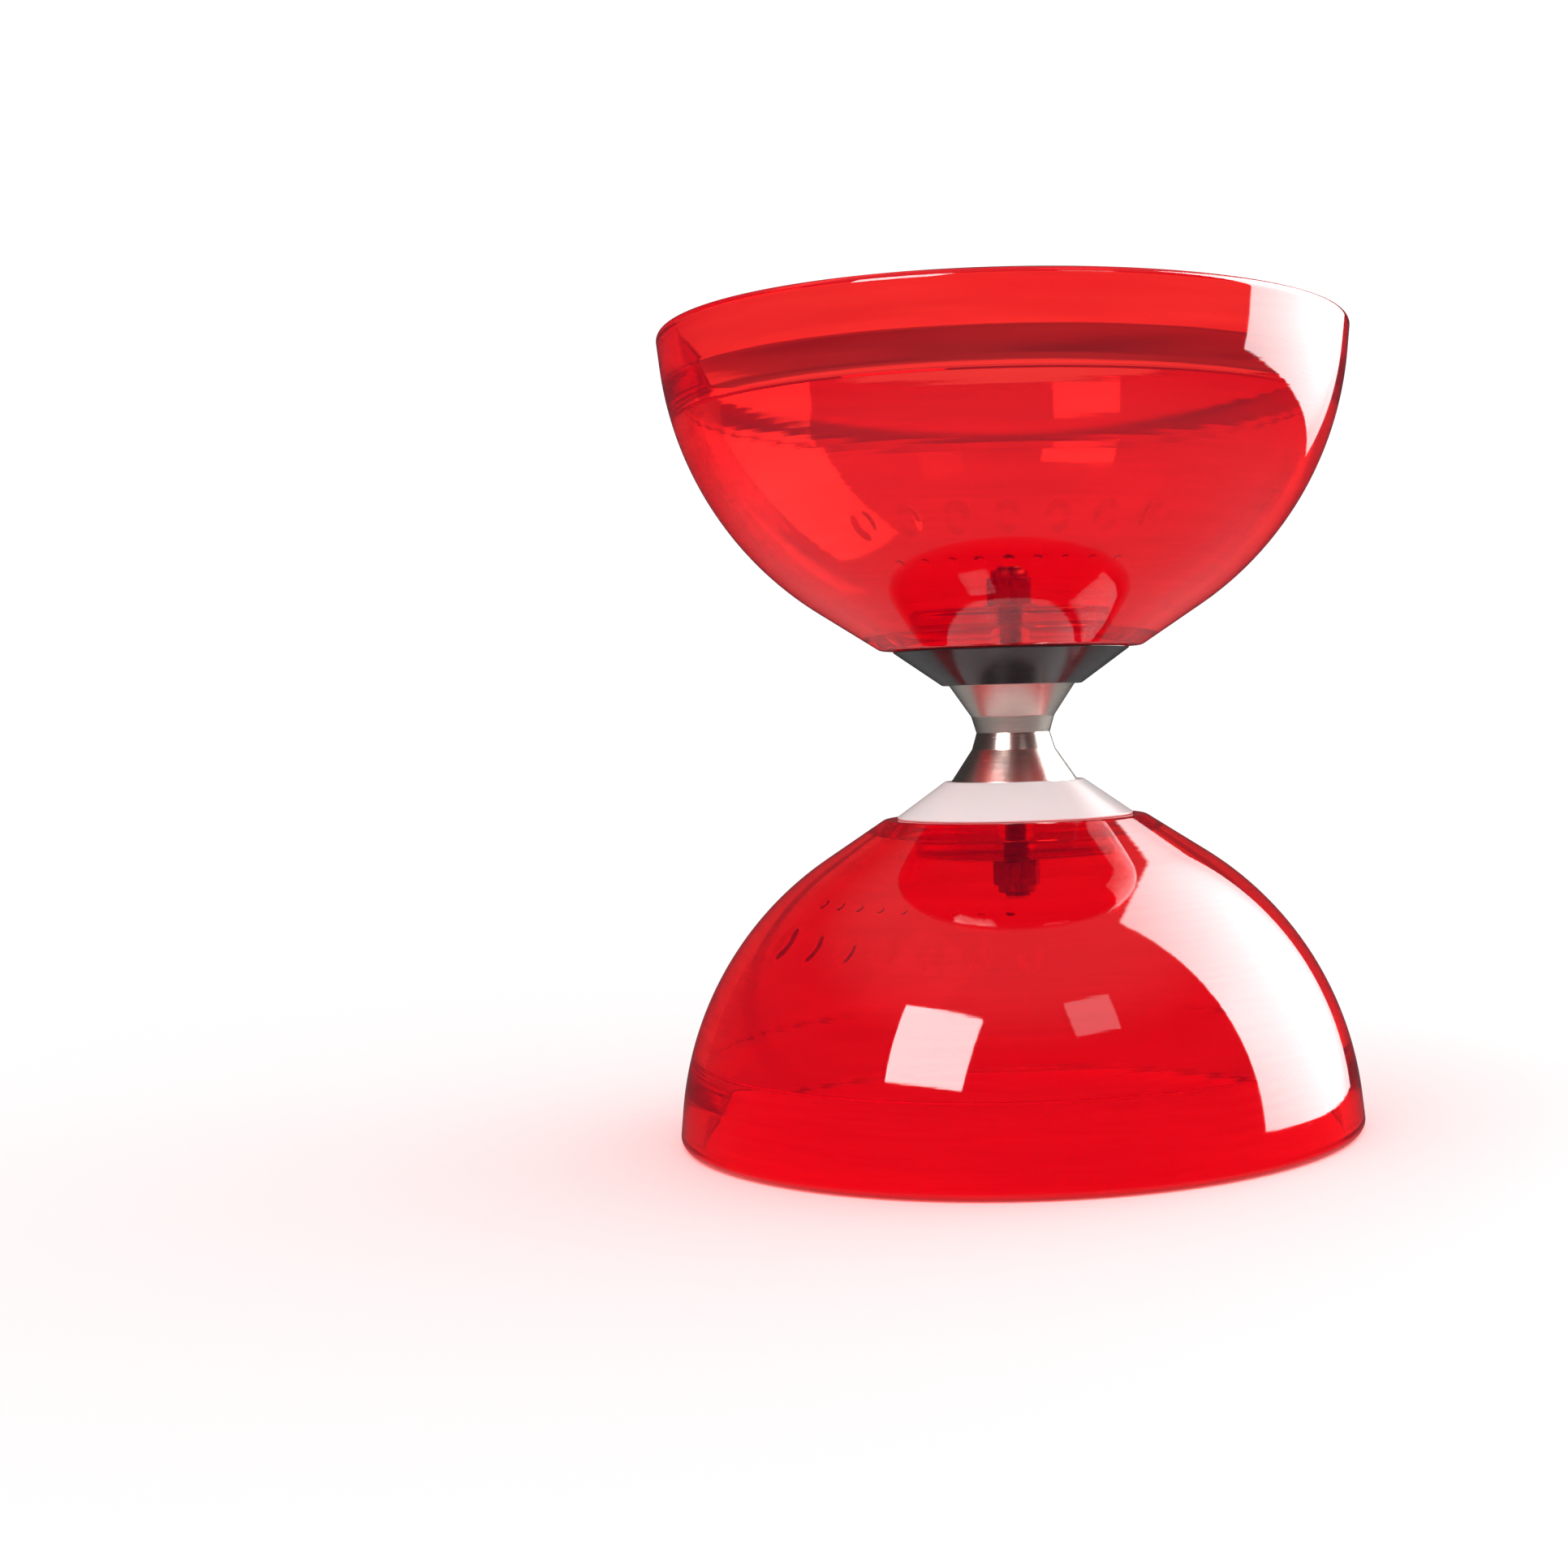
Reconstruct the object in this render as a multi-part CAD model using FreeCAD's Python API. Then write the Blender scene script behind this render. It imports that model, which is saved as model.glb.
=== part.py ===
"""Diabolo: two translucent cups on a turned steel axle, held by a through rod and two lock nuts.

Millimetres, +Z up along the spin axis, origin at the centre of the axle's waist. The diabolo stands
on the rim of its lower cup. Each piece is made for the upper half and turned over for the lower one.
"""

import FreeCAD, Part

import math
import os

from FreeCAD import Placement, Rotation, Vector

# ---- driving dimensions -------------------------------------------------------------------------

RIM_RADIUS = 62.5             # outer radius of a cup's rim: 125 mm diameter
RIM_HEIGHT = 72.5             # from the waist to a rim's face: 145 mm overall

# Cup shell: a cone near the hub, one wide arc, then a nearly straight wall up to the rim.
CUP_BASE_HEIGHT = 15.4        # the plane where the cup sits on its collar
CUP_BASE_RADIUS = 24.0        # where the base plane and the cone would meet
CUP_BASE_EDGE = 1.8           # rounding of that corner
CONE_SLOPE = 33.0             # degrees above the base plane
WALL_SLOPE = 84.0             # degrees above the base plane
FLANK_RADIUS = 60.0           # outside radius of the arc between cone and wall
WALL = 2.8                    # shell thickness
RIM_WALL = 4.0                # thickness of the band along the rim
RIM_BAND_HEIGHT = 8.2         # how far the band reaches down from the rim
RIM_BAND_FOOT = 5.5           # how far down the band thins out into the shell
RIM_BAND_EDGE = 9.0           # rounding where the band starts to thin out
RIM_BAND_ROOT = 1.5           # how far the foot of the band reaches into the shell
RIM_OUTER_EDGE = 1.4
RIM_INNER_EDGE = 0.8

# Hub inside the cup: a raised seat for the nut, with a shallow trough round it.
SEAT_HEIGHT = 23.5
SEAT_RADIUS = 18.5
SEAT_EDGE = 0.8
TROUGH_HEIGHT = 19.6
TROUGH_EDGE = 1.2

# Raised pips on the inside of each cup: a row of ovals and a row of small round ones nearer the hub.
PIP_RISE = 0.3
PIP_ROOT = 1.0                # how deep a pip reaches into the wall
PIP_ROWS = (                  # height above the waist, count, degrees apart, length, width
    (36.0, 7, 10.0, 7.0, 4.6),
    (29.8, 9, 6.6, 2.2, 2.2),
)
UPPER_PIPS_FACE = 270.0       # compass angle of the middle pip, from +X towards +Y
LOWER_PIPS_FACE = 242.0

# Collar: the plastic cone between the axle and the cup.
COLLAR_NARROW_RADIUS = 12.8
COLLAR_NARROW_HEIGHT = 8.75
COLLAR_NARROW_EDGE = 0.8
COLLAR_WIDE_RADIUS = 22.3
COLLAR_WIDE_EDGE = 0.25

# Axle: one turned piece with a V at the waist, and a shoulder and a cone on each side of it.
WAIST_RADIUS = 6.75
SHOULDER_RADIUS = 7.65
SHOULDER_HEIGHT = 3.0
SHOULDER_EDGE = 1.2
AXLE_END_RADIUS = 11.55
AXLE_SEAT_DEPTH = 1.0         # how far the axle's end sits inside the collar

# M5 hardware: through rod, plain washers and lock nuts with a nylon ring.
ROD_RADIUS = 2.5
ROD_CHAMFER = 0.5
ROD_STANDS_PROUD = 0.8
WASHER_RADIUS = 5.0
WASHER_THICKNESS = 1.0
NUT_ACROSS_FLATS = 8.0
NUT_HEX_HEIGHT = 3.7
NUT_HEIGHT = 5.0
NUT_CHAMFER = 0.35            # height taken off the hexagon's corners at each end
NUT_COLLAR_RADIUS = 3.45
INSERT_RADIUS = 3.05
NUT_LIP = 0.25                # metal folded over the nylon ring
NUT_LIP_RADIUS = 2.8
UPPER_NUT_CORNER = 265.0      # compass angle of one corner of the hexagon
LOWER_NUT_CORNER = 260.0

CLEARANCE = 0.06              # radial gap round the rod, the nylon rings and the axle's ends

BORE = ROD_RADIUS + CLEARANCE
AXLE_END_HEIGHT = COLLAR_NARROW_HEIGHT + AXLE_SEAT_DEPTH
NUT_SEAT_HEIGHT = SEAT_HEIGHT + WASHER_THICKNESS
ROD_END_HEIGHT = NUT_SEAT_HEIGHT + NUT_HEIGHT + ROD_STANDS_PROUD

ORIGIN = Vector(0, 0, 0)
X_AXIS = Vector(1, 0, 0)
Z_AXIS = Vector(0, 0, 1)


# ---- sections in the (radius, height) half plane -------------------------------------------------


def toward(point, angle, distance):
    """The point that lies that far from point, at that angle above the radial direction."""
    a = math.radians(angle)
    return point[0] + distance * math.cos(a), point[1] + distance * math.sin(a)


def meet(p, p_angle, q, q_angle):
    """Where the line through p and the line through q cross."""
    a, b = math.radians(p_angle), math.radians(q_angle)
    along = ((q[0] - p[0]) * math.sin(b) - (q[1] - p[1]) * math.cos(b)) / math.sin(b - a)
    return toward(p, p_angle, along)


def at_height(point, angle, height):
    """Where the line through point reaches a height."""
    return meet(point, angle, (0.0, height), 0.0)


def rounded_corner(before, corner, after, radius):
    """First, middle and last point of the arc that rounds a corner."""
    back, ahead = (before - corner).normalize(), (after - corner).normalize()
    half = back.getAngle(ahead) / 2
    reach = radius / math.tan(half)
    to_middle = radius / math.sin(half) - radius
    return corner + back * reach, corner + (back + ahead).normalize() * to_middle, corner + ahead * reach


def section(corners):
    """A closed wire in the XZ plane through corners of (radius, height, rounding)."""
    points = [Vector(c[0], 0, c[1]) for c in corners]
    edges, starts, ends = [], [], []
    for i, corner in enumerate(points):
        start = end = corner
        rounding = corners[i][2]
        if rounding > 0:
            after = points[(i + 1) % len(points)]
            start, middle, end = rounded_corner(points[i - 1], corner, after, rounding)
            edges.append(Part.Arc(start, middle, end).toShape())
        starts.append(start)
        ends.append(end)
    edges += [Part.LineSegment(ends[i - 1], start).toShape() for i, start in enumerate(starts)]
    return Part.Wire(Part.__sortEdges__(edges))


def turned(corners):
    """The solid of revolution of a section about Z."""
    return Part.Face(section(corners)).revolve(ORIGIN, Z_AXIS, 360)


def turned_over(shape):
    """The same piece on the lower half: half a turn about X."""
    lower = shape.copy()
    lower.rotate(ORIGIN, X_AXIS, 180)
    return lower


# ---- cup -----------------------------------------------------------------------------------------

CUP_CORNER = (CUP_BASE_RADIUS, CUP_BASE_HEIGHT)
WALL_LEAN = math.radians(90 - WALL_SLOPE)
# The rim's rounded edge is widest at RIM_RADIUS, so the wall would meet the rim's face a little further out.
RIM_CORNER = (RIM_RADIUS + RIM_OUTER_EDGE * (1 / math.cos(WALL_LEAN) + math.tan(WALL_LEAN) - 1), RIM_HEIGHT)
FLANK_CORNER = meet(CUP_CORNER, CONE_SLOPE, RIM_CORNER, WALL_SLOPE)
FLANK_CENTRE = toward(
    FLANK_CORNER,
    (CONE_SLOPE + WALL_SLOPE) / 2 + 90,
    FLANK_RADIUS / math.cos(math.radians((WALL_SLOPE - CONE_SLOPE) / 2)),
)


def cup_shell():
    """Hub and wall at an even thickness, without the rim band."""
    cone_inside = toward(CUP_CORNER, CONE_SLOPE + 90, WALL)
    wall_inside = toward(RIM_CORNER, WALL_SLOPE + 90, WALL)
    rim_inside = at_height(wall_inside, WALL_SLOPE, RIM_HEIGHT)
    flank_inside = meet(cone_inside, CONE_SLOPE, wall_inside, WALL_SLOPE)
    trough_outside = at_height(cone_inside, CONE_SLOPE, TROUGH_HEIGHT)
    return turned([
        (BORE, CUP_BASE_HEIGHT, 0),
        (*CUP_CORNER, CUP_BASE_EDGE),
        (*FLANK_CORNER, FLANK_RADIUS),
        (*RIM_CORNER, RIM_OUTER_EDGE),
        (*rim_inside, 0),
        (*flank_inside, FLANK_RADIUS - WALL),
        (*trough_outside, TROUGH_EDGE),
        (SEAT_RADIUS, TROUGH_HEIGHT, TROUGH_EDGE),
        (SEAT_RADIUS, SEAT_HEIGHT, SEAT_EDGE),
        (BORE, SEAT_HEIGHT, 0),
    ])


def inside_at(height):
    """Radius of the inside of the flank at that height."""
    return FLANK_CENTRE[0] + math.sqrt((FLANK_RADIUS - WALL)**2 - (height - FLANK_CENTRE[1]) ** 2)


def rim_band():
    """The thicker ring along the rim, on the inside of the wall."""
    top = (RIM_CORNER[0] - RIM_WALL, RIM_HEIGHT)
    bottom = at_height(top, WALL_SLOPE, RIM_HEIGHT - RIM_BAND_HEIGHT)
    foot_height = bottom[1] - RIM_BAND_FOOT
    foot = (inside_at(foot_height), foot_height - RIM_BAND_ROOT)
    in_wall = (RIM_CORNER[0] - WALL / 2, RIM_HEIGHT)
    return turned([(*top, RIM_INNER_EDGE), (*bottom, RIM_BAND_EDGE), (*foot, 0), (*in_wall, 0)])


def pip(height, compass, length, width):
    """One raised oval on the inside of the wall, its length up the wall."""
    radius = inside_at(height)
    slope = math.asin((radius - FLANK_CENTRE[0]) / (FLANK_RADIUS - WALL))
    a = math.radians(compass)
    outward = Vector(math.cos(a), math.sin(a), 0)
    up_wall = outward * math.cos(slope) + Z_AXIS * math.sin(slope)
    off_wall = outward * -math.sin(slope) + Z_AXIS * math.cos(slope)
    root = outward * radius + Z_AXIS * height - off_wall * PIP_ROOT
    oval = Part.Wire(Part.Ellipse(ORIGIN, length / 2, width / 2).toShape())
    solid = Part.Face(oval).extrude(Z_AXIS * (PIP_ROOT + PIP_RISE))
    solid.Placement = Placement(root, Rotation(up_wall, off_wall.cross(up_wall), off_wall, "ZXY"))
    return solid


def pips(face):
    """Both rows of pips, centred on a compass angle."""
    return [
        pip(height, face + (i - (count - 1) / 2) * step, length, width)
        for height, count, step, length, width in PIP_ROWS
        for i in range(count)
    ]


def cup(pips_face):
    return cup_shell().fuse([rim_band(), *pips(pips_face)]).removeSplitter()


# ---- collar and axle -----------------------------------------------------------------------------


def collar():
    """A plain cone with a shallow seat for the axle's end in its narrow face."""
    seat_radius = AXLE_END_RADIUS + CLEARANCE
    return turned([
        (BORE, AXLE_END_HEIGHT, 0),
        (seat_radius, AXLE_END_HEIGHT, 0),
        (seat_radius, COLLAR_NARROW_HEIGHT, 0),
        (COLLAR_NARROW_RADIUS, COLLAR_NARROW_HEIGHT, COLLAR_NARROW_EDGE),
        (COLLAR_WIDE_RADIUS, CUP_BASE_HEIGHT, COLLAR_WIDE_EDGE),
        (BORE, CUP_BASE_HEIGHT, 0),
    ])


def axle_spool():
    """The turned axle, from one collar seat to the other."""
    above_waist = [
        (SHOULDER_RADIUS, SHOULDER_HEIGHT, SHOULDER_EDGE),
        (AXLE_END_RADIUS, COLLAR_NARROW_HEIGHT, 0),
        (AXLE_END_RADIUS, AXLE_END_HEIGHT, 0),
        (BORE, AXLE_END_HEIGHT, 0),
    ]
    below_waist = [(radius, -height, rounding) for radius, height, rounding in reversed(above_waist)]
    return turned([*below_waist, (WAIST_RADIUS, 0, 0), *above_waist])


# ---- rod, washers and nuts -----------------------------------------------------------------------


def threaded_rod():
    rod = Part.makeCylinder(ROD_RADIUS, 2 * ROD_END_HEIGHT, Z_AXIS * -ROD_END_HEIGHT)
    end_edges = [e for e in rod.Edges if len(e.Vertexes) == 1]
    return rod.makeChamfer(ROD_CHAMFER, end_edges)


def ring(inner, outer, bottom, height):
    """A plain ring on the Z axis."""
    base = Z_AXIS * bottom
    return Part.makeCylinder(outer, height, base).cut(Part.makeCylinder(inner, height, base))


def washer():
    return ring(BORE, WASHER_RADIUS, SEAT_HEIGHT, WASHER_THICKNESS)


def hexagon(corner_face):
    """The nut's hexagonal part, its corners chamfered at both ends."""
    corner_radius = NUT_ACROSS_FLATS / 2 / math.cos(math.radians(30))
    corners = [Rotation(Z_AXIS, 60 * i).multVec(X_AXIS * corner_radius) for i in range(6)]
    prism = Part.Face(Part.makePolygon([*corners, corners[0]])).extrude(Z_AXIS * NUT_HEX_HEIGHT)
    prism.rotate(ORIGIN, Z_AXIS, corner_face)
    prism.translate(Z_AXIS * NUT_SEAT_HEIGHT)
    low, high = NUT_SEAT_HEIGHT, NUT_SEAT_HEIGHT + NUT_HEX_HEIGHT
    flat_radius = NUT_ACROSS_FLATS / 2
    envelope = turned([
        (0, low, 0),
        (flat_radius, low, 0),
        (corner_radius, low + NUT_CHAMFER, 0),
        (corner_radius, high - NUT_CHAMFER, 0),
        (flat_radius, high, 0),
        (0, high, 0),
    ])
    return prism.common(envelope)


def lock_nut(corner_face):
    """The steel nut, with the round collar that holds its nylon ring."""
    insert_bottom = NUT_SEAT_HEIGHT + NUT_HEX_HEIGHT
    insert_top = NUT_SEAT_HEIGHT + NUT_HEIGHT - NUT_LIP
    outside = Part.makeCylinder(NUT_COLLAR_RADIUS, NUT_HEIGHT, Z_AXIS * NUT_SEAT_HEIGHT)
    body = hexagon(corner_face).fuse(outside)
    hollow = [
        Part.makeCylinder(BORE, NUT_HEIGHT, Z_AXIS * NUT_SEAT_HEIGHT),
        Part.makeCylinder(INSERT_RADIUS, insert_top - insert_bottom, Z_AXIS * insert_bottom),
        Part.makeCylinder(NUT_LIP_RADIUS, NUT_LIP, Z_AXIS * insert_top),
    ]
    return body.cut(hollow).removeSplitter()


def nut_insert():
    """The nylon ring inside a lock nut's collar."""
    height = NUT_HEIGHT - NUT_LIP - NUT_HEX_HEIGHT
    return ring(BORE, INSERT_RADIUS - CLEARANCE, NUT_SEAT_HEIGHT + NUT_HEX_HEIGHT, height)


# ---- the assembly --------------------------------------------------------------------------------


def pieces():
    """Every node's name and solid. Half a turn about X reverses compass angles."""
    return {
        "upper_cup": cup(UPPER_PIPS_FACE),
        "lower_cup": turned_over(cup(-LOWER_PIPS_FACE)),
        "upper_collar": collar(),
        "lower_collar": turned_over(collar()),
        "axle_spool": axle_spool(),
        "threaded_rod": threaded_rod(),
        "upper_washer": washer(),
        "lower_washer": turned_over(washer()),
        "upper_lock_nut": lock_nut(UPPER_NUT_CORNER),
        "lower_lock_nut": turned_over(lock_nut(-LOWER_NUT_CORNER)),
        "upper_nut_insert": nut_insert(),
        "lower_nut_insert": turned_over(nut_insert()),
    }


os.makedirs("parts", exist_ok=True)
for node, solid in pieces().items():
    solid.exportStep(f"parts/{node}.step")
    print(f"{node:18s} {len(solid.Solids)} solid, {solid.Volume / 1000:8.3f} cm3, valid {solid.isValid()}")
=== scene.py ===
"""Looks of a diabolo: clear red cups, a black and a white collar, a turned axle, a rod and two nuts.

Blender units are metres. Sections are written in millimetres and scaled by MM. Heights are measured
from the waist of the axle, along the spin axis Z. Pieces are made for the upper half and turned over
for the lower.
"""

import math

import bpy
import numpy as np
from mathutils import Matrix, Vector


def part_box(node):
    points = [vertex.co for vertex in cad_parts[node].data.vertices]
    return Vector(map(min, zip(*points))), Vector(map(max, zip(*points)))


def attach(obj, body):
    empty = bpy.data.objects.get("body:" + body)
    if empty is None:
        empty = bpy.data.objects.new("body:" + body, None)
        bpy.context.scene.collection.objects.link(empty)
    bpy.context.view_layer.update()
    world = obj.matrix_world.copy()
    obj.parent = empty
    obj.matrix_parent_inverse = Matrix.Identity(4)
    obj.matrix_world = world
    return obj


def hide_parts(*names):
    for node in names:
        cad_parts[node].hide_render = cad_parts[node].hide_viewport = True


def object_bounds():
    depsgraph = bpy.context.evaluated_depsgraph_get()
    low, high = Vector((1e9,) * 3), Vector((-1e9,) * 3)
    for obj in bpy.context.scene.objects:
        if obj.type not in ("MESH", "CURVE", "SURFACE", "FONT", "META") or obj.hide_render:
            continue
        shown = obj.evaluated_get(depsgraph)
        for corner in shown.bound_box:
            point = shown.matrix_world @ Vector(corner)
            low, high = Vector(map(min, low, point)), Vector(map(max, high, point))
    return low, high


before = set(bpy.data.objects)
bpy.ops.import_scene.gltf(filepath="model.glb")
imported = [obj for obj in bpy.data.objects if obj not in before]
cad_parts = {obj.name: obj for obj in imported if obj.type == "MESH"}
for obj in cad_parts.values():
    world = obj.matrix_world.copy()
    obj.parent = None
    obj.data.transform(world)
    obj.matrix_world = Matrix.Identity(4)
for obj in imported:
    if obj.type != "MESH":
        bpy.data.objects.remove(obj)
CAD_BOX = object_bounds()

MM, MICRON = 0.001, 0.000001


# ---- sizes read from the frame, in millimetres ----------------------------------------------------


def reach(node):
    """Outer radius, lowest and highest point of a node, in millimetres."""
    low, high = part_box(node)
    return high.x / MM, low.z / MM, high.z / MM


RIM_RADIUS, CUP_BASE, RIM_TOP = reach("upper_cup")
COLLAR_RADIUS, COLLAR_BOTTOM, COLLAR_TOP = reach("upper_collar")
AXLE_RADIUS, _, AXLE_TOP = reach("axle_spool")
ROD_RADIUS, _, ROD_TOP = reach("threaded_rod")
WASHER_RADIUS, SEAT, WASHER_TOP = reach("upper_washer")
_, NUT_BOTTOM, NUT_TOP = reach("upper_lock_nut")
INSERT_RADIUS, INSERT_BOTTOM, INSERT_TOP = reach("upper_nut_insert")

# ---- sizes that a box can't give, in millimetres and degrees --------------------------------------

AIR = 0.03                    # left between faces that touch, so that only one of them is met first
CLEARANCE = 0.06              # round the rod, the nylon rings and the axle's ends
BORE = ROD_RADIUS + CLEARANCE
EDGE, SOFT_EDGE = 0.1, 0.15   # roundings of small edges

CUP_BASE_RADIUS, CUP_BASE_EDGE = 24.0, 1.8
CONE_SLOPE, WALL_SLOPE = 33.0, 84.0
FLANK_RADIUS = 60.0
WALL, RIM_WALL = 2.8, 4.0
RIM_BAND_HEIGHT, RIM_BAND_FOOT, RIM_BAND_EDGE = 8.2, 5.5, 9.0
RIM_OUTER_EDGE, RIM_INNER_EDGE = 1.4, 0.8
SEAT_RADIUS, SEAT_EDGE = 18.5, 0.8
TROUGH, TROUGH_EDGE = 19.6, 1.2

PIP_ROWS = (                  # height, count, degrees apart, length up the wall, width
    (36.0, 7, 10.0, 7.0, 4.6),
    (29.8, 9, 6.6, 2.2, 2.2),
)
PIP_RISE, WIDEST_PIP = 0.3, 4.6   # a narrower pip rises less, by its width
PIP_TOP, PIP_SLOPE = 0.35, 0.75   # widths of the flat top and of the slope, as shares of half a pip
UPPER_PIPS_FACE, LOWER_PIPS_FACE = 270.0, 242.0
PIPS_LOW, PIPS_HIGH, PIPS_HALF_ARC = 27.0, 41.0, 36.0   # where a cup's mesh is fine enough for pips

COLLAR_NARROW, COLLAR_NARROW_EDGE = 12.8, 0.8
COLLAR_TIP, COLLAR_WIDE_EDGE = 0.4, 0.25   # how far the wide edge would stand out if it were sharp
WAIST_RADIUS, WAIST_EDGE = 6.75, 0.06
SHOULDER_RADIUS, SHOULDER_HEIGHT, SHOULDER_EDGE = 7.65, 3.0, 1.2
AXLE_RIM_EDGE = 0.12

NUT_ACROSS_FLATS, NUT_HEX_HEIGHT, NUT_CHAMFER = 8.0, 3.7, 0.4
NUT_COLLAR_RADIUS, NUT_COLLAR_EDGE = 3.45, 0.5
NUT_LIP_RADIUS = 2.8
NUT_INSIDE_EDGE, HEX_EDGE = 0.04, 0.05
UPPER_NUT_CORNER, LOWER_NUT_CORNER = 265.0, 260.0
THREAD_PITCH, THREAD_DEPTH = 0.8, 0.45


# ---- sections -------------------------------------------------------------------------------------


def toward(point, angle, distance):
    """The point that lies that far from point, at that angle above the radial direction."""
    a = math.radians(angle)
    return point[0] + distance * math.cos(a), point[1] + distance * math.sin(a)


def meet(p, p_angle, q, q_angle):
    """Where the line through p and the line through q cross."""
    a, b = math.radians(p_angle), math.radians(q_angle)
    along = ((q[0] - p[0]) * math.sin(b) - (q[1] - p[1]) * math.cos(b)) / math.sin(b - a)
    return toward(p, p_angle, along)


def at_height(point, angle, height):
    """Where the line through point reaches a height."""
    return meet(point, angle, (0.0, height), 0.0)


def arc_points(centre, radius, start, end, step):
    """Points on an arc, from one angle to another, about step apart."""
    count = max(2, math.ceil(abs(math.radians(end - start)) * radius / step))
    return [toward(centre, start + (end - start) * i / count, radius) for i in range(count + 1)]


def corner_points(before, corner, after, radius):
    """The rounded corner between two lines, as points no more than 9 degrees or 1.2 mm apart."""
    before, corner, after = (Vector(p) for p in (before, corner, after))
    back, ahead = (before - corner).normalized(), (after - corner).normalized()
    half = back.angle(ahead) / 2
    centre = corner + (back + ahead).normalized() * (radius / math.sin(half))
    first = corner + back * (radius / math.tan(half)) - centre
    turn = math.pi - 2 * half
    if back.x * ahead.y - back.y * ahead.x > 0:
        turn = -turn
    count = max(4, math.ceil(abs(turn) / math.radians(9)), math.ceil(abs(turn) * radius / 1.2))
    points = []
    for i in range(count + 1):
        c, s = math.cos(turn * i / count), math.sin(turn * i / count)
        points.append((centre.x + c * first.x - s * first.y, centre.y + s * first.x + c * first.y))
    return points


def closed_section(corners, step=1.2, guard=0.08):
    """Points round a closed section through corners of (radius, height, rounding).

    Points are about step apart, with one more at a distance of guard from each end of a straight run.
    """
    runs = []
    for i, (r, z, rounding) in enumerate(corners):
        after = corners[(i + 1) % len(corners)]
        sharp = [(r, z)]
        runs.append(corner_points(corners[i - 1][:2], (r, z), after[:2], rounding) if rounding else sharp)
    points = []
    for i, run in enumerate(runs):
        start, end = Vector(run[-1]), Vector(runs[(i + 1) % len(runs)][0])
        points += run
        length = (end - start).length
        if length > 4 * guard:
            count = max(2, math.ceil(length / step)) + 1
            along = np.linspace(guard, length - guard, count)
            points += [tuple(start + (end - start) * (d / length)) for d in along]
    return np.array(points)


# ---- meshes ---------------------------------------------------------------------------------------


def even_angles(count):
    """That many angles, evenly round a turn."""
    return np.linspace(0, 2 * math.pi, count, endpoint=False)


def turned_piece(name, node, points, angles, shift=None, lower=False):
    """A smooth solid of revolution from a closed section in millimetres, in place of a CAD node.

    shift(radius, height, angle) gives what each point adds to its radius and to its height.
    """
    radius, height = points[:, 0][:, None], points[:, 1][:, None]
    angle = angles[None, :]
    more_radius, more_height = shift(radius, height, angle) if shift else (0.0, 0.0)
    r = radius + more_radius
    z = height + more_height + 0 * angle
    grid = np.stack([r * np.cos(angle), r * np.sin(angle), z], -1) * MM
    if lower:
        grid = grid * (1, -1, -1)
    rows, columns = grid.shape[:2]
    i, j = np.meshgrid(np.arange(rows), np.arange(columns), indexing="ij")
    next_row, next_column = ((i + 1) % rows) * columns, (j + 1) % columns
    quads = np.stack([i * columns + j, i * columns + next_column, next_row + next_column, next_row + j], -1)
    quads = quads.reshape(-1, 4)
    mesh = bpy.data.meshes.new(name)
    mesh.from_pydata(grid.reshape(-1, 3).tolist(), [], quads.tolist())
    if signed_volume(grid.reshape(-1, 3), quads) < 0:
        mesh.flip_normals()
    mesh.shade_smooth()
    piece = bpy.data.objects.new(name, mesh)
    bpy.context.scene.collection.objects.link(piece)
    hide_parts(node)
    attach(piece, "root")
    return piece


def signed_volume(points, quads):
    """Negative where the faces are wound inwards."""
    a, b, c, d = (points[quads[:, k]] for k in range(4))
    return float(np.sum(np.cross(a, b) * c) + np.sum(np.cross(a, c) * d)) / 6


def finish_with(piece, material):
    """Gives a piece its material."""
    piece.data.materials.append(material)
    return piece


# ---- cups -----------------------------------------------------------------------------------------

CUP_CORNER = (CUP_BASE_RADIUS, CUP_BASE)
WALL_LEAN = math.radians(90 - WALL_SLOPE)
RIM_CORNER = (RIM_RADIUS + RIM_OUTER_EDGE * (1 / math.cos(WALL_LEAN) + math.tan(WALL_LEAN) - 1), RIM_TOP)
FLANK_CORNER = meet(CUP_CORNER, CONE_SLOPE, RIM_CORNER, WALL_SLOPE)
FLANK_CENTRE = toward(
    FLANK_CORNER,
    (CONE_SLOPE + WALL_SLOPE) / 2 + 90,
    FLANK_RADIUS / math.cos(math.radians((WALL_SLOPE - CONE_SLOPE) / 2)),
)
INSIDE_RADIUS = FLANK_RADIUS - WALL


def inside_at(height):
    """Radius of the inside of the flank."""
    return FLANK_CENTRE[0] + math.sqrt(INSIDE_RADIUS**2 - (height - FLANK_CENTRE[1]) ** 2)


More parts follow.
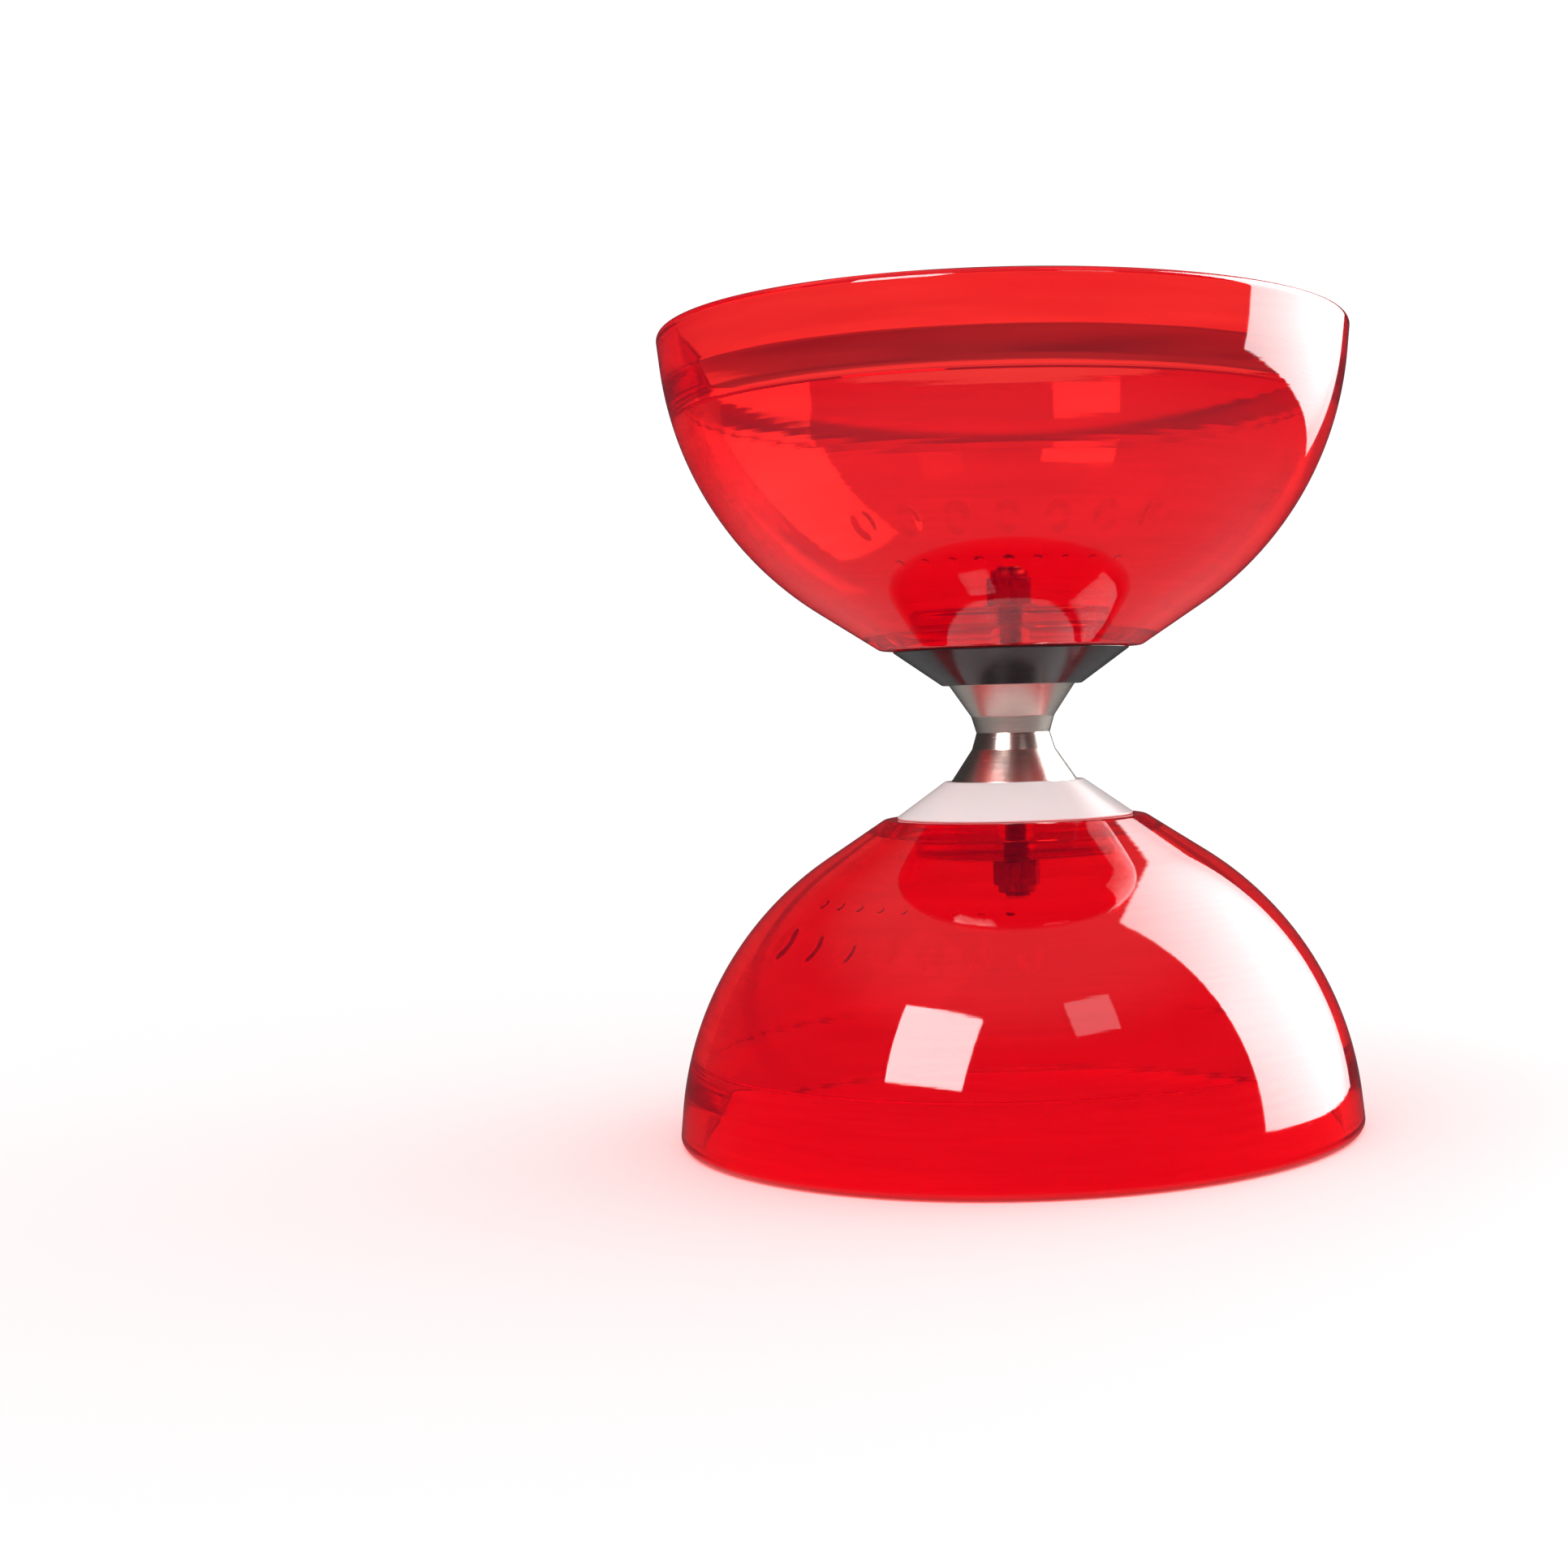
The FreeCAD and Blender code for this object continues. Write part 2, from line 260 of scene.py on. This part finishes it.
def cup_section():
    """The closed section of a cup, finely divided where the pips stand."""
    cone_inside = toward(CUP_CORNER, CONE_SLOPE + 90, WALL)
    band_top = (RIM_CORNER[0] - RIM_WALL, RIM_TOP)
    band_bottom = at_height(band_top, WALL_SLOPE, RIM_TOP - RIM_BAND_HEIGHT)
    foot_height = band_bottom[1] - RIM_BAND_FOOT
    foot = (inside_at(foot_height), foot_height)
    foot_angle = math.degrees(math.atan2(foot[1] - FLANK_CENTRE[1], foot[0] - FLANK_CENTRE[0]))
    above_pips, below_pips = (
        math.degrees(math.asin((height - FLANK_CENTRE[1]) / INSIDE_RADIUS))
        for height in (PIPS_HIGH, PIPS_LOW)
    )
    flank = []
    for start, end, step in (
        (foot_angle, above_pips, 1.2),
        (above_pips, below_pips, 0.28),
        (below_pips, CONE_SLOPE - 90, 0.8),
    ):
        flank += arc_points(FLANK_CENTRE, INSIDE_RADIUS, start, end, step)[1:]
    return closed_section([
        (BORE, CUP_BASE, SOFT_EDGE),
        (*CUP_CORNER, CUP_BASE_EDGE),
        (*FLANK_CORNER, FLANK_RADIUS),
        (*RIM_CORNER, RIM_OUTER_EDGE),
        (*band_top, RIM_INNER_EDGE),
        (*band_bottom, RIM_BAND_EDGE),
        (*foot, RIM_BAND_EDGE),
        *((*p, 0) for p in flank),
        (*at_height(cone_inside, CONE_SLOPE, TROUGH), TROUGH_EDGE),
        (SEAT_RADIUS, TROUGH, TROUGH_EDGE),
        (SEAT_RADIUS, SEAT, SEAT_EDGE),
        (BORE, SEAT, SOFT_EDGE),
    ])


def pips_on(face):
    """The shift that raises the pips off the inside of the flank, the middle one at that compass angle."""

    def shift(radius, height, angle):
        from_centre = np.hypot(radius - FLANK_CENTRE[0], height - FLANK_CENTRE[1])
        on_flank = np.abs(from_centre - INSIDE_RADIUS) < 0.02
        total = np.zeros(np.broadcast(radius, angle).shape)
        for pip_height, count, step, length, width in PIP_ROWS:
            pip_radius = inside_at(pip_height)
            up = np.hypot(radius - pip_radius, height - pip_height) / (length / 2)
            for i in range(count):
                centre = math.radians(face + (i - (count - 1) / 2) * step)
                turn = (angle - centre + math.pi) % (2 * math.pi) - math.pi
                out = np.hypot(up, turn * pip_radius / (width / 2))
                share = 1 - smooth((out - PIP_TOP) / PIP_SLOPE)
                total = np.maximum(total, PIP_RISE * width / WIDEST_PIP * share)
        rise = total * on_flank / INSIDE_RADIUS
        return rise * (FLANK_CENTRE[0] - radius), rise * (FLANK_CENTRE[1] - height)

    return shift


def smooth(t):
    """A smooth step from 0 to 1 as t does."""
    t = np.clip(t, 0, 1)
    return t * t * (3 - 2 * t)


def cup_angles(face):
    """Even steps round the cup, four times finer across the pips."""
    coarse = even_angles(288)
    fine = even_angles(1152)
    turn = (fine - math.radians(face) + math.pi) % (2 * math.pi) - math.pi
    return np.unique(np.round(np.concatenate([coarse, fine[np.abs(turn) < math.radians(PIPS_HALF_ARC)]]), 9))


def make_cup(side, face, material, lower):
    """A cup, its pips centred on a compass angle, which turning over reverses."""
    made_at = -face if lower else face
    piece = turned_piece(
        f"{side}_cup_shell", f"{side}_cup", cup_section(), cup_angles(made_at), pips_on(made_at), lower
    )
    return finish_with(piece, material)


# ---- collars and axle -----------------------------------------------------------------------------


def make_collar(side, material, lower):
    """A plain cone with a shallow seat for the axle's end in its narrow face."""
    seat_radius = AXLE_RADIUS + CLEARANCE
    section = closed_section([
        (BORE, AXLE_TOP + AIR, EDGE),
        (seat_radius, AXLE_TOP + AIR, EDGE),
        (seat_radius, COLLAR_BOTTOM, AXLE_RIM_EDGE),
        (COLLAR_NARROW, COLLAR_BOTTOM, COLLAR_NARROW_EDGE),
        (COLLAR_RADIUS + COLLAR_TIP, COLLAR_TOP - AIR, COLLAR_WIDE_EDGE),
        (BORE, COLLAR_TOP - AIR, EDGE),
    ], step=0.6)
    piece = turned_piece(f"{side}_collar_cone", f"{side}_collar", section, even_angles(256), lower=lower)
    return finish_with(piece, material)


def make_axle(material):
    """The turned axle: a V at the waist, and a shoulder and a cone on each side of it."""
    above = [
        (SHOULDER_RADIUS, SHOULDER_HEIGHT, SHOULDER_EDGE),
        (AXLE_RADIUS, COLLAR_BOTTOM, AXLE_RIM_EDGE),
        (AXLE_RADIUS, AXLE_TOP, SOFT_EDGE),
        (BORE, AXLE_TOP, EDGE),
    ]
    below = [(r, -z, rounding) for r, z, rounding in reversed(above)]
    section = closed_section([*below, (WAIST_RADIUS, 0, WAIST_EDGE), *above], step=0.4, guard=0.05)
    piece = turned_piece("axle_spool_turned", "axle_spool", section, even_angles(256))
    return finish_with(piece, material)


# ---- rod, washers and nuts ------------------------------------------------------------------------


def make_rod(material):
    """The threaded rod: a helical ridge on a core, faded out at both ends."""
    core, pole = ROD_RADIUS - THREAD_DEPTH, 0.02
    step = 0.1
    fade_length, fade_reach = 0.5, 0.2
    crest, slope = 1.25, 3.0
    heights = np.arange(-ROD_TOP, ROD_TOP + step / 2, step)
    heights = heights * (ROD_TOP / heights[-1])
    section = np.array([(core, z) for z in heights] + [(pole, ROD_TOP), (pole, -ROD_TOP)])

    def thread(radius, height, angle):
        share = (height / THREAD_PITCH - angle / (2 * math.pi)) % 1.0
        ridge = THREAD_DEPTH * np.clip(crest - np.abs(share - 0.5) * slope, 0, 1)
        fade = np.clip((ROD_TOP + fade_reach - np.abs(height)) / fade_length, 0, 1)
        return ridge * fade * (radius > core / 2), 0.0

    piece = turned_piece("threaded_rod_m5", "threaded_rod", section, even_angles(48), thread)
    return finish_with(piece, material)


def make_washer(side, material, lower):
    """A plain washer, its upper edge rounded a little more than its lower one, as if stamped."""
    sharper, rounder = 0.2, 0.3
    section = closed_section([
        (BORE, SEAT + AIR, SOFT_EDGE),
        (WASHER_RADIUS, SEAT + AIR, sharper),
        (WASHER_RADIUS, WASHER_TOP, rounder),
        (BORE, WASHER_TOP, sharper),
    ], step=0.5)
    piece = turned_piece(f"{side}_washer_plain", f"{side}_washer", section, even_angles(128), lower=lower)
    return finish_with(piece, material)


def make_nut(side, corner, material, lower):
    """The lock nut: a chamfered hexagon under a round collar that is folded over the nylon ring."""
    flat = NUT_ACROSS_FLATS / 2
    face = flat - 0.1
    point = flat / math.cos(math.radians(30))
    hex_top = NUT_BOTTOM + NUT_HEX_HEIGHT
    pocket = INSERT_RADIUS + CLEARANCE
    corner_angle = math.radians(-corner if lower else corner)
    section = closed_section([
        (BORE, NUT_BOTTOM, EDGE),
        (face, NUT_BOTTOM, HEX_EDGE),
        (point, NUT_BOTTOM + NUT_CHAMFER, EDGE),
        (point, hex_top - NUT_CHAMFER, EDGE),
        (face, hex_top, HEX_EDGE),
        (NUT_COLLAR_RADIUS, hex_top, SOFT_EDGE),
        (NUT_COLLAR_RADIUS, NUT_TOP, NUT_COLLAR_EDGE),
        (NUT_LIP_RADIUS, NUT_TOP, EDGE),
        (NUT_LIP_RADIUS, INSERT_TOP, NUT_INSIDE_EDGE),
        (pocket, INSERT_TOP, NUT_INSIDE_EDGE),
        (pocket, hex_top, NUT_INSIDE_EDGE),
        (BORE, hex_top, EDGE),
    ], step=0.15, guard=0.04)

    def flats(radius, height, angle):
        """Takes the section in to the hexagon where it stands outside it."""
        turn = (angle - corner_angle + math.radians(30)) % math.radians(60) - math.radians(30)
        to_flat = math.radians(30) - np.abs(turn)
        hexagon = (flat - HEX_EDGE) / np.cos(to_flat)
        blend = 0.04
        inside = -blend * np.log(np.exp(-radius / blend) + np.exp(-hexagon / blend))
        return np.where(radius > NUT_COLLAR_RADIUS + 0.05, inside - radius, 0.0), 0.0

    piece = turned_piece(f"{side}_lock_nut_hex", f"{side}_lock_nut", section, even_angles(360), flats, lower)
    return finish_with(piece, material)


def make_insert(side, material, lower):
    """The nylon ring inside a lock nut's collar."""
    section = closed_section([
        (BORE, INSERT_BOTTOM, EDGE),
        (INSERT_RADIUS, INSERT_BOTTOM, EDGE),
        (INSERT_RADIUS, INSERT_TOP, EDGE),
        (BORE, INSERT_TOP, 2 * EDGE),
    ], step=0.2, guard=0.03)
    piece = turned_piece(f"{side}_nylon_ring", f"{side}_nut_insert", section, even_angles(96), lower=lower)
    return finish_with(piece, material)


# ---- materials ------------------------------------------------------------------------------------


class Nodes:
    """Short calls for building one material's node tree."""

    def __init__(self, name):
        self.material = bpy.data.materials.new(name)
        self.material.use_nodes = True
        self.tree = self.material.node_tree
        self.shader = self.tree.nodes["Principled BSDF"]
        self.output = self.tree.nodes["Material Output"]

    def add(self, kind, links=(), **settings):
        """A node of that kind. links maps input names or numbers to sockets or values."""
        node = self.tree.nodes.new("ShaderNode" + kind)
        for key, value in settings.items():
            setattr(node, key, value)
        for key, value in dict(links).items():
            self.put(node.inputs[key], value)
        return node

    def put(self, socket, value):
        """Links a socket to another one, or sets its value."""
        if isinstance(value, bpy.types.NodeSocket):
            self.tree.links.new(value, socket)
        else:
            socket.default_value = value

    def math(self, operation, a, b=0.0):
        return self.add("Math", {0: a, 1: b}, operation=operation).outputs[0]

    def turning_marks(self, around, across, detail=4.0):
        """Noise drawn out round Z: around features to a radian, across features to a metre of section."""
        place = self.add("TexCoord").outputs["Object"]
        flat = self.add("VectorMath", {0: place, 1: (1, 1, 0)}, operation="MULTIPLY").outputs[0]
        unit = self.add("VectorMath", {0: flat}, operation="NORMALIZE").outputs[0]
        ring = self.add("VectorMath", {0: unit, "Scale": around}, operation="SCALE").outputs[0]
        radius = self.add("VectorMath", {0: flat}, operation="LENGTH").outputs["Value"]
        height = self.math("ABSOLUTE", self.add("SeparateXYZ", {0: place}).outputs["Z"])
        along = self.math("MULTIPLY", self.math("ADD", radius, height), across)
        level = self.add("CombineXYZ", {"Z": along}).outputs[0]
        point = self.add("VectorMath", {0: ring, 1: level}, operation="ADD").outputs[0]
        links = {"Vector": point, "Scale": 1.0, "Detail": detail, "Roughness": 0.6}
        return self.add("TexNoise", links).outputs["Fac"]

    def speckle(self, scale, detail=3.0):
        """Even noise, scale features to a metre."""
        place = self.add("TexCoord").outputs["Object"]
        return self.add("TexNoise", {"Vector": place, "Scale": scale, "Detail": detail}).outputs["Fac"]

    def between(self, share, low, high, start=0.3, end=0.7):
        """A number from low to high as share goes from start to end."""
        links = {0: share, 1: start, 2: end, 3: low, 4: high}
        return self.add("MapRange", links).outputs[0]

    def tint(self, share, low, high):
        """A colour from low to high as share goes from 0.3 to 0.7."""
        ramp = self.add("ValToRGB", {0: share})
        ramp.color_ramp.elements[0].position = 0.3
        ramp.color_ramp.elements[1].position = 0.7
        ramp.color_ramp.elements[0].color = (*low, 1)
        ramp.color_ramp.elements[1].color = (*high, 1)
        return ramp.outputs["Color"]

    def set(self, **values):
        """Sets the shader's inputs, with _ for a space in their names."""
        for key, value in values.items():
            self.put(self.shader.inputs[key.replace("_", " ")], value)

    def bump(self, height, depth):
        """depth is in metres."""
        self.set(Normal=self.add("Bump", {"Height": height, "Distance": depth, "Strength": 1.0}).outputs[0])


def clear_red():
    """Clear red plastic: tinted at its faces and by its depth, a little hazy, with flow lines round it."""
    n = Nodes("clear_red")
    lines = n.turning_marks(1.6, 400.0, 5.0)
    n.set(Base_Color=n.tint(lines, (0.79, 0.032, 0.020), (0.90, 0.070, 0.038)))
    n.set(Transmission_Weight=1.0, IOR=1.5, Roughness=n.between(n.speckle(60.0), 0.015, 0.045))
    n.bump(lines, 10 * MICRON)
    absorb = n.add("VolumeAbsorption", {"Color": (0.98, 0.0, 0.1, 1), "Density": 200.0})
    n.put(n.output.inputs["Volume"], absorb.outputs[0])
    pass_light = n.add("BsdfTransparent", {"Color": (0.95, 0.12, 0.1, 1)})
    is_shadow = n.add("LightPath").outputs["Is Shadow Ray"]
    haze = n.add("BsdfDiffuse", {"Color": (0.95, 0.03, 0.42, 1)})
    haze_share = 0.02
    hazy = n.add("MixShader", {0: haze_share, 1: n.shader.outputs[0], 2: haze.outputs[0]})
    both = n.add("MixShader", {0: is_shadow, 1: hazy.outputs[0], 2: pass_light.outputs[0]})
    n.put(n.output.inputs["Surface"], both.outputs[0])
    return n.material


def black_plastic():
    """Glossy black plastic with faint rings and a very fine grain."""
    n = Nodes("black_plastic")
    lines = n.turning_marks(2.0, 1500.0)
    n.set(Base_Color=n.tint(lines, (0.010, 0.008, 0.010), (0.020, 0.017, 0.020)))
    n.set(Roughness=n.between(n.speckle(220.0), 0.12, 0.22), IOR=1.5)
    n.bump(n.speckle(2500.0, 2.0), 4 * MICRON)
    return n.material


def white_plastic():
    """White plastic that lets light in a little, with a faint gloss."""
    n = Nodes("white_plastic")
    n.set(Base_Color=n.tint(n.speckle(60.0), (0.735, 0.785, 0.785), (0.755, 0.805, 0.805)))
    n.set(Roughness=n.between(n.speckle(60.0), 0.16, 0.22), Specular_IOR_Level=0.12)
    n.set(Subsurface_Weight=0.25, Subsurface_Radius=(1.0, 0.7, 0.6), Subsurface_Scale=0.003)
    n.bump(n.speckle(2500.0, 2.0), 4 * MICRON)
    return n.material


def turned_steel():
    """Steel with fine turning marks, which draw highlights out along the axis."""
    n = Nodes("turned_steel")
    lines = n.turning_marks(1.5, 5000.0, 6.0)
    n.set(Metallic=1.0, Base_Color=n.tint(lines, (0.65, 0.58, 0.53), (0.77, 0.695, 0.63)))
    n.set(Roughness=n.between(lines, 0.235, 0.275), Anisotropic=0.5, Anisotropic_Rotation=0.25)
    n.set(Tangent=n.add("Tangent", direction_type="RADIAL", axis="Z").outputs[0])
    n.bump(lines, 0.5 * MICRON)
    return n.material


def zinc_plate():
    """Dull zinc-plated steel with a fine spangle."""
    n = Nodes("zinc_plate")
    spots = n.speckle(900.0)
    n.set(Metallic=1.0, Base_Color=n.tint(spots, (0.22, 0.22, 0.24), (0.36, 0.36, 0.38)))
    n.set(Roughness=n.between(spots, 0.22, 0.42))
    n.bump(n.speckle(4000.0), 6 * MICRON)
    return n.material


def nylon():
    """Milky nylon."""
    n = Nodes("nylon")
    n.set(Base_Color=n.tint(n.speckle(1200.0), (0.78, 0.79, 0.76), (0.86, 0.86, 0.83)))
    n.set(Roughness=0.45, Subsurface_Weight=0.2, Subsurface_Scale=0.001)
    n.bump(n.speckle(3000.0), 10 * MICRON)
    return n.material


# ---- stage ----------------------------------------------------------------------------------------

BACKGROUND_WHITE, FILL_LIGHT = 1.1, 1.3      # radiance of the studio to the camera and to matt surfaces
CAMERA_PLACE = (0, -0.3917, 0.00555)
CAMERA_TIP, CAMERA_LEAN = 2.206, 1.503       # degrees down and clockwise
CAMERA_LENS, CAMERA_SENSOR, CAMERA_SHIFT = 48.94, 36.0, -0.147
CLEAR_BOUNCES, OTHER_BOUNCES = 64, 24        # enough for light that crosses several clear walls


def make_floor():
    """A wide pale floor under the diabolo, hidden from gloss, with painted shade: its colour is darker near
    the diabolo and whiter far off.
    """
    half = 6.0
    near, far = 0.15, 1.6
    # painted shade: the floor's colour near the diabolo and far off
    painted_shade_near_white, far_white = 0.74, 0.92
    low = CAD_BOX[0].z
    corners = [(-half, -half, low), (half, -half, low), (half, half, low), (-half, half, low)]
    mesh = bpy.data.meshes.new("floor")
    mesh.from_pydata(corners, [], [(0, 1, 2, 3)])
    floor = bpy.data.objects.new("floor", mesh)
    floor.visible_glossy = False
    bpy.context.scene.collection.objects.link(floor)
    n = Nodes("floor_paper")
    place = n.add("TexCoord").outputs["Object"]
    away = n.add("VectorMath", {0: place}, operation="LENGTH").outputs["Value"]
    # painted shade: the floor's colour darkens toward the diabolo and whitens far off, in place of light and
    # shade
    limits = {0: away, 1: near, 2: far, 3: painted_shade_near_white, 4: far_white}
    pale = n.add("MapRange", limits, interpolation_type="SMOOTHSTEP").outputs[0]
    grain = n.math("MULTIPLY", pale, n.between(n.speckle(3.0), 0.99, 1.01))
    n.set(Base_Color=n.add("CombineColor", {0: grain, 1: grain, 2: grain}).outputs[0], Roughness=0.7)
    mesh.materials.append(n.material)


def make_lamp(name, place, size, radiance, aim=(0, 0, 0), roll=0, spread=180):
    """A rectangular lamp that shines toward aim, rolled about its beam. A low spread narrows the beam."""
    lamp = bpy.data.lights.new(name, "AREA")
    lamp.shape = "RECTANGLE"
    lamp.size, lamp.size_y = size
    lamp.energy = radiance * math.pi * size[0] * size[1]
    lamp.spread = math.radians(spread)
    lamp_object = bpy.data.objects.new(name, lamp)
    lamp_object.location = place
    facing = (Vector(place) - Vector(aim)).to_track_quat("Z", "Y").to_matrix()
    lamp_object.rotation_euler = (facing @ Matrix.Rotation(math.radians(roll), 3, "Z")).to_euler()
    lamp_object.visible_camera = False
    bpy.context.scene.collection.objects.link(lamp_object)
    return lamp_object


def make_gleam(*settings, **more):
    """A lamp that only shows in gloss."""
    lamp_object = make_lamp(*settings, **more)
    lamp_object.visible_diffuse = False
    lamp_object.visible_transmission = False


def seen_at(azimuth, elevation, distance):
    """The place that far from the waist. Azimuth 0 is the camera's side and 90 is its right."""
    a, e = math.radians(azimuth), math.radians(elevation)
    return (
        distance * math.sin(a) * math.cos(e),
        -distance * math.cos(a) * math.cos(e),
        distance * math.sin(e),
    )


def make_world():
    """A white studio to look at and through, darker overhead, which gloss sees as a dim room."""
    world = bpy.data.worlds.new("studio")
    bpy.context.scene.world = world
    world.use_nodes = True
    tree = world.node_tree

    def add(kind, **settings):
        node = tree.nodes.new("ShaderNode" + kind)
        for key, value in settings.items():
            setattr(node, key, value)
        return node

    def ramp(share, *limits):
        """A smooth step in share: from and to what share, then from and to what value."""
        step = add("MapRange", interpolation_type="SMOOTHSTEP")
        tree.links.new(share, step.inputs[0])
        for i, value in enumerate(limits):
            step.inputs[i + 1].default_value = value
        return step.outputs[0]

    def product(a, b):
        times = add("Math", operation="MULTIPLY")
        tree.links.new(a, times.inputs[0])
        tree.links.new(b, times.inputs[1])
        return times.outputs[0]

    def pick(share, no, yes):
        mix = add("Mix")
        tree.links.new(share, mix.inputs["Factor"])
        for key, value in (("A", no), ("B", yes)):
            if isinstance(value, float):
                mix.inputs[key].default_value = value
            else:
                tree.links.new(value, mix.inputs[key])
        return mix.outputs["Result"]

    direction = add("TexCoord").outputs["Generated"]
    split = add("SeparateXYZ")
    tree.links.new(direction, split.inputs[0])
    rise = split.outputs["Z"]
    level = add("VectorMath", operation="MULTIPLY")
    tree.links.new(direction, level.inputs[0])
    level.inputs[1].default_value = (1.6, 1.6, 14.0)
    streaks = add("TexNoise")
    tree.links.new(level.outputs[0], streaks.inputs["Vector"])
    streaks.inputs["Scale"].default_value = 1.0
    streaks.inputs["Detail"].default_value = 4.0
    streak = streaks.outputs["Fac"]

    # Seen through clear pieces: darker overhead, with faint level streaks and one uneven dark rail.
    overhead = ramp(rise, 0.35, 0.85, 1.12, 0.5)
    faint_streaks = ramp(streak, 0.3, 0.7, 0.86, 1.06)
    rail = product(ramp(rise, 0.208, 0.225, 0.0, 1.0), ramp(rise, 0.29, 0.31, 1.0, 0.0))
    uneven_rail = product(rail, ramp(streak, 0.25, 0.6, 1.0, 0.6))
    backdrop = product(product(overhead, faint_streaks), ramp(uneven_rail, 0.0, 1.0, 1.0, 0.12))

    # Seen in gloss: a dark room, lighter well below and overhead.
    from_below = ramp(rise, -0.6, -0.05, 0.34, 0.04)
    from_above = ramp(rise, 0.55, 0.9, 0.04, 0.36)
    room = add("Math", operation="MAXIMUM")
    tree.links.new(from_below, room.inputs[0])
    tree.links.new(from_above, room.inputs[1])

    path = add("LightPath").outputs
    gloss = add("Math", operation="SUBTRACT", use_clamp=True)
    tree.links.new(path["Is Glossy Ray"], gloss.inputs[0])
    tree.links.new(path["Is Transmission Ray"], gloss.inputs[1])
    seen = pick(gloss.outputs[0], backdrop, room.outputs[0])
    seen = pick(path["Is Camera Ray"], seen, BACKGROUND_WHITE)
    strength = pick(path["Is Diffuse Ray"], seen, FILL_LIGHT)
    background = tree.nodes["Background"]
    background.inputs["Color"].default_value = (1, 1, 1, 1)
    tree.links.new(strength, background.inputs["Strength"])


def make_camera():
    """Just above the waist, tipped down and leaning a little, with the diabolo right of the middle."""
    camera = bpy.data.cameras.new("camera")
    camera.lens = CAMERA_LENS
    camera.sensor_width = CAMERA_SENSOR
    camera.shift_x = CAMERA_SHIFT
    camera.clip_start = 0.01
    camera_object = bpy.data.objects.new("camera", camera)
    lean = Matrix.Rotation(math.radians(-CAMERA_LEAN), 4, "Z")
    tip = Matrix.Rotation(math.radians(90 - CAMERA_TIP), 4, "X")
    camera_object.matrix_world = Matrix.Translation(CAMERA_PLACE) @ tip @ lean
    bpy.context.scene.collection.objects.link(camera_object)
    bpy.context.scene.camera = camera_object


def set_light_paths():
    """Plain colours, and enough bounces for the clear cups."""
    scene = bpy.context.scene
    scene.view_settings.view_transform = "Standard"
    scene.cycles.max_bounces = CLEAR_BOUNCES
    scene.cycles.transmission_bounces = CLEAR_BOUNCES
    scene.cycles.transparent_max_bounces = OTHER_BOUNCES
    scene.cycles.glossy_bounces = OTHER_BOUNCES


# ---- the scene ------------------------------------------------------------------------------------

make_camera()
make_floor()
make_world()
key = make_lamp("key_left", seen_at(-60, 55, 1.6), (0.8, 0.8), 1.5)
key.visible_glossy = False
for name, place, radiance, spread in (
    ("softbox_right", (1.08, 0.9, 0.53), 4.2, 140),
    ("softbox_right_core", (1.07, 0.9, 0.53), 3.0, 112),
):
    make_gleam(name, place, (2.0, 1.62), radiance, aim=(0, 0.9, 0), roll=-6, spread=spread)
make_gleam("window_front_left", seen_at(-34, 33, 1.4), (0.65, 0.62), 16.0)
make_gleam("panel_front_right", seen_at(31, 43, 1.4), (0.36, 0.29), 2.3)
set_light_paths()

red, zinc, ring = clear_red(), zinc_plate(), nylon()
for side, lower, face, corner in (
    ("upper", False, UPPER_PIPS_FACE, UPPER_NUT_CORNER),
    ("lower", True, LOWER_PIPS_FACE, LOWER_NUT_CORNER),
):
    make_cup(side, face, red, lower)
    make_washer(side, zinc, lower)
    make_nut(side, corner, zinc, lower)
    make_insert(side, ring, lower)
make_collar("upper", black_plastic(), False)
make_collar("lower", white_plastic(), True)
make_axle(turned_steel())
make_rod(zinc)
